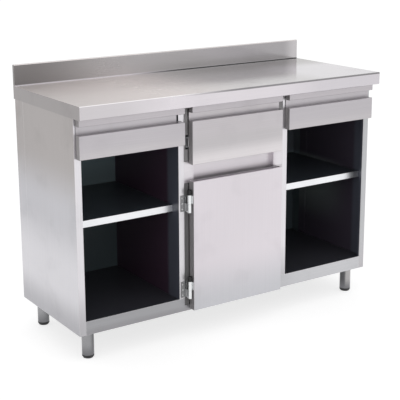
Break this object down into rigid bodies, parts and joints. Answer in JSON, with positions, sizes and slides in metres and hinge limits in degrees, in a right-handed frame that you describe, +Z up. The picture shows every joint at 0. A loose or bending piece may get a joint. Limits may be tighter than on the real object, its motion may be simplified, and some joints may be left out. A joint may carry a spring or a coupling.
{
  "type": "waiter service station",
  "caption": "Stainless steel back counter with upstand, drawers on runners, open shelved bays, a hinged centre door and adjustable round legs.",
  "frame": {"origin": "on the floor, under the middle of the worktop's outline", "axes": "+X along the counter to the right, +Y from the front to the back, +Z up"},
  "size_m": [1.5, 0.6, 1.14],
  "materials": {
    "satin_stainless": "satin stainless steel sheet",
    "chrome_hinge": "bright chromed",
    "black_plastic": "black moulded plastic",
    "zinc_runner": "zinc plated steel",
    "magnet_housing": "light grey moulded plastic",
    "leg_steel": "polished stainless tube"
  },
  "bodies": {
    "cabinet": {"back_panel": "satin_stainless", "bottom_rail": "satin_stainless", "cleat_left_divider": "satin_stainless", "cleat_left_panel": "satin_stainless", "cleat_right_divider": "satin_stainless", "cleat_right_panel": "satin_stainless", "crossbar": "satin_stainless", "divider_left": "satin_stainless", "divider_right": "satin_stainless", "floor_centre": "satin_stainless", "floor_left": "satin_stainless", "floor_right": "satin_stainless", "hinge_frame_lower": "chrome_hinge", "hinge_frame_upper": "chrome_hinge", "leg_front_left": "leg_steel", "leg_front_right": "leg_steel", "leg_rear_left": "leg_steel", "leg_rear_right": "leg_steel", "magnetic_catch": "magnet_housing", "runner_outer_centre_left": "zinc_runner", "runner_outer_centre_right": "zinc_runner", "runner_outer_left_left": "zinc_runner", "runner_outer_left_right": "zinc_runner", "runner_outer_right_left": "zinc_runner", "runner_outer_right_right": "zinc_runner", "runner_spacer_centre_left": "satin_stainless", "runner_spacer_centre_right": "satin_stainless", "runner_spacer_left_left": "satin_stainless", "runner_spacer_right_right": "satin_stainless", "shelf_left": "satin_stainless", "shelf_right": "satin_stainless", "side_panel_left": "satin_stainless", "side_panel_right": "satin_stainless", "stiffener_front": "satin_stainless", "stiffener_rear": "satin_stainless", "worktop": "satin_stainless"},
    "door": {"door_liner": "satin_stainless", "door_skin": "satin_stainless", "hinge_cap_lower": "black_plastic", "hinge_cap_upper": "black_plastic", "hinge_door_lower": "chrome_hinge", "hinge_door_upper": "chrome_hinge", "strike_plate": "satin_stainless"},
    "drawer_centre": {"drawer_front_centre": "satin_stainless", "drawer_tray_centre": "satin_stainless"},
    "drawer_left": {"drawer_front_left": "satin_stainless", "drawer_tray_left": "satin_stainless"},
    "drawer_right": {"drawer_front_right": "satin_stainless", "drawer_tray_right": "satin_stainless"},
    "foot_front_left": {"foot_front_left": "black_plastic"},
    "foot_front_right": {"foot_front_right": "black_plastic"},
    "foot_rear_left": {"foot_rear_left": "black_plastic"},
    "foot_rear_right": {"foot_rear_right": "black_plastic"},
    "runner_centre": {"runner_middle_centre_left": "zinc_runner", "runner_middle_centre_right": "zinc_runner"},
    "runner_left": {"runner_middle_left_left": "zinc_runner", "runner_middle_left_right": "zinc_runner"},
    "runner_right": {"runner_middle_right_left": "zinc_runner", "runner_middle_right_right": "zinc_runner"}
  },
  "joints": [
    {"name": "drawer_left_slide", "type": "slide", "parent": "cabinet", "child": "drawer_left", "axis": [0, -1, 0], "range_m": [0, 0.42]},
    {"name": "runner_left_slide", "type": "slide", "parent": "cabinet", "child": "runner_left", "axis": [0, -1, 0], "range_m": [0, 0.21]},
    {"name": "drawer_centre_slide", "type": "slide", "parent": "cabinet", "child": "drawer_centre", "axis": [0, -1, 0], "range_m": [0, 0.42]},
    {"name": "runner_centre_slide", "type": "slide", "parent": "cabinet", "child": "runner_centre", "axis": [0, -1, 0], "range_m": [0, 0.21]},
    {"name": "drawer_right_slide", "type": "slide", "parent": "cabinet", "child": "drawer_right", "axis": [0, -1, 0], "range_m": [0, 0.42]},
    {"name": "runner_right_slide", "type": "slide", "parent": "cabinet", "child": "runner_right", "axis": [0, -1, 0], "range_m": [0, 0.21]},
    {"name": "door_hinge", "type": "hinge", "parent": "cabinet", "child": "door", "pos_m": [-0.239, -0.257, 0.4], "axis": [0, 0, -1], "range_deg": [0, 110]},
    {"name": "foot_front_left_adjust", "type": "slide", "parent": "cabinet", "child": "foot_front_left", "axis": [0, 0, -1], "range_m": [0, 0.025]},
    {"name": "foot_front_right_adjust", "type": "slide", "parent": "cabinet", "child": "foot_front_right", "axis": [0, 0, -1], "range_m": [0, 0.025]},
    {"name": "foot_rear_left_adjust", "type": "slide", "parent": "cabinet", "child": "foot_rear_left", "axis": [0, 0, -1], "range_m": [0, 0.025]},
    {"name": "foot_rear_right_adjust", "type": "slide", "parent": "cabinet", "child": "foot_rear_right", "axis": [0, 0, -1], "range_m": [0, 0.025]}
  ],
  "couplings": [
    {"joint": "runner_left_slide", "follows": "drawer_left_slide", "ratio": 0.5},
    {"joint": "runner_centre_slide", "follows": "drawer_centre_slide", "ratio": 0.5},
    {"joint": "runner_right_slide", "follows": "drawer_right_slide", "ratio": 0.5}
  ]
}
